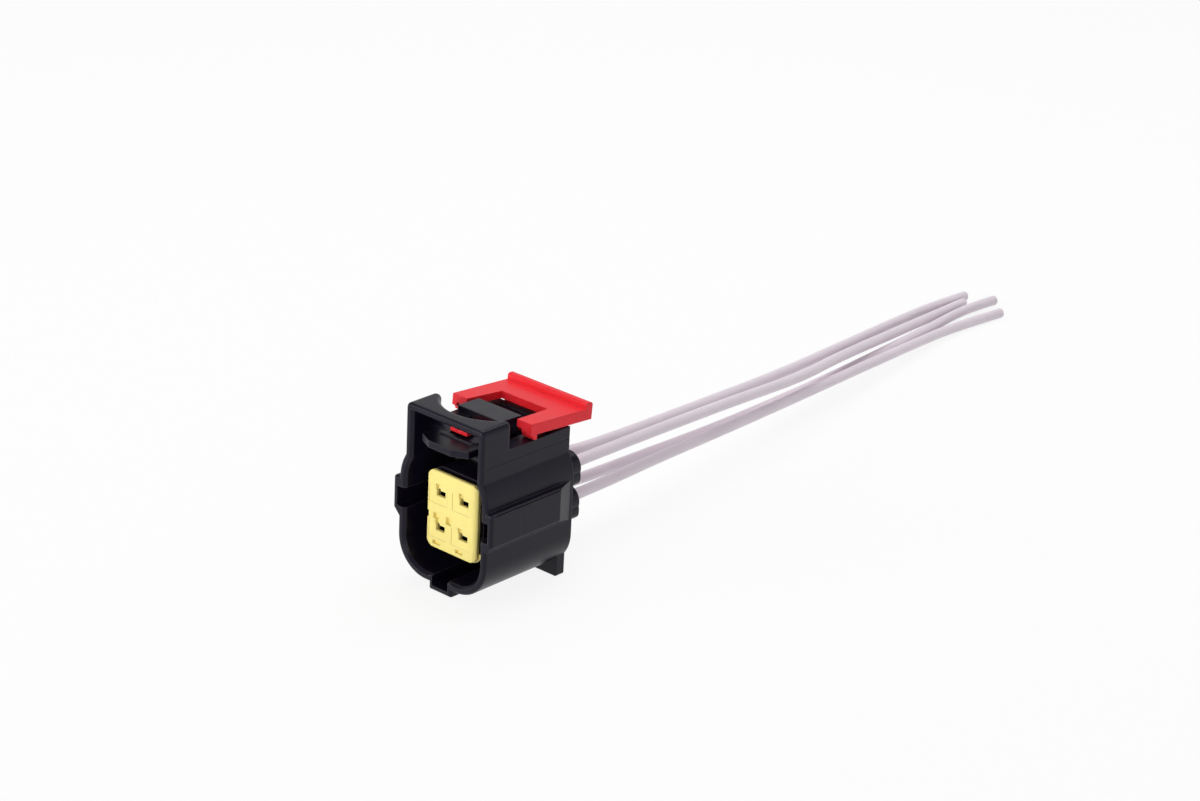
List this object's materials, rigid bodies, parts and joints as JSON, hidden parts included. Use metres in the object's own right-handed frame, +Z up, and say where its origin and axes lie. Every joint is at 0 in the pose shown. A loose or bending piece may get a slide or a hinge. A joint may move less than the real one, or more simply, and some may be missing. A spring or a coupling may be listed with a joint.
{
  "type": "sealed wire connector plug with pigtail",
  "caption": "Sealed plug housing with a rocker latch, a sliding position lock, a front terminal lock plate and loose wires with cut ends.",
  "frame": {"origin": "centre of the plug body's bounding box, at the face it rests on, wires left out", "axes": "+Z up towards the latch, +Y from the mating mouth towards the wires, +X across the plug"},
  "size_m": [0.0343, 0.1753, 0.0302],
  "materials": {
    "housing_black": "satin moulded nylon, fine matte grain",
    "lock_red": "satin moulded plastic, warm red",
    "lock_yellow": "satin moulded plastic, pale yellow",
    "seal_charcoal": "oiled silicone, soft sheen",
    "seal_green": "silicone, muted grey green",
    "contact_tin": "tin plated sheet, dull bright",
    "wire_white": "soft satin insulation, off white",
    "copper": "bare copper strands, dull"
  },
  "bodies": {
    "plug": {"housing": "housing_black", "ring_seal": "seal_charcoal", "terminal_1": "contact_tin", "terminal_2": "contact_tin", "terminal_3": "contact_tin", "terminal_4": "contact_tin", "wire_seal_1": "seal_green", "wire_seal_2": "seal_green", "wire_seal_3": "seal_green", "wire_seal_4": "seal_green", "wire_1": "wire_white", "wire_2": "wire_white", "wire_3": "wire_white", "wire_4": "wire_white", "conductor_1": "copper", "conductor_2": "copper", "conductor_3": "copper", "conductor_4": "copper"},
    "latch": {"latch_arm": "housing_black"},
    "position_lock": {"position_lock_slide": "lock_red"},
    "terminal_lock": {"terminal_lock_plate": "lock_yellow"}
  },
  "joints": [
    {"name": "latch_rock", "type": "hinge", "parent": "plug", "child": "latch", "pos_m": [0, -0.00795, 0.0254], "axis": [-1, 0, 0], "range_deg": [0, 5], "stiffness_Nm_per_rad": 0.6},
    {"name": "position_lock_travel", "type": "slide", "parent": "plug", "child": "position_lock", "axis": [0, -1, 0], "range_m": [0, 0.0035]},
    {"name": "terminal_lock_travel", "type": "slide", "parent": "plug", "child": "terminal_lock", "axis": [0, -1, 0], "range_m": [0, 0.0015]}
  ]
}
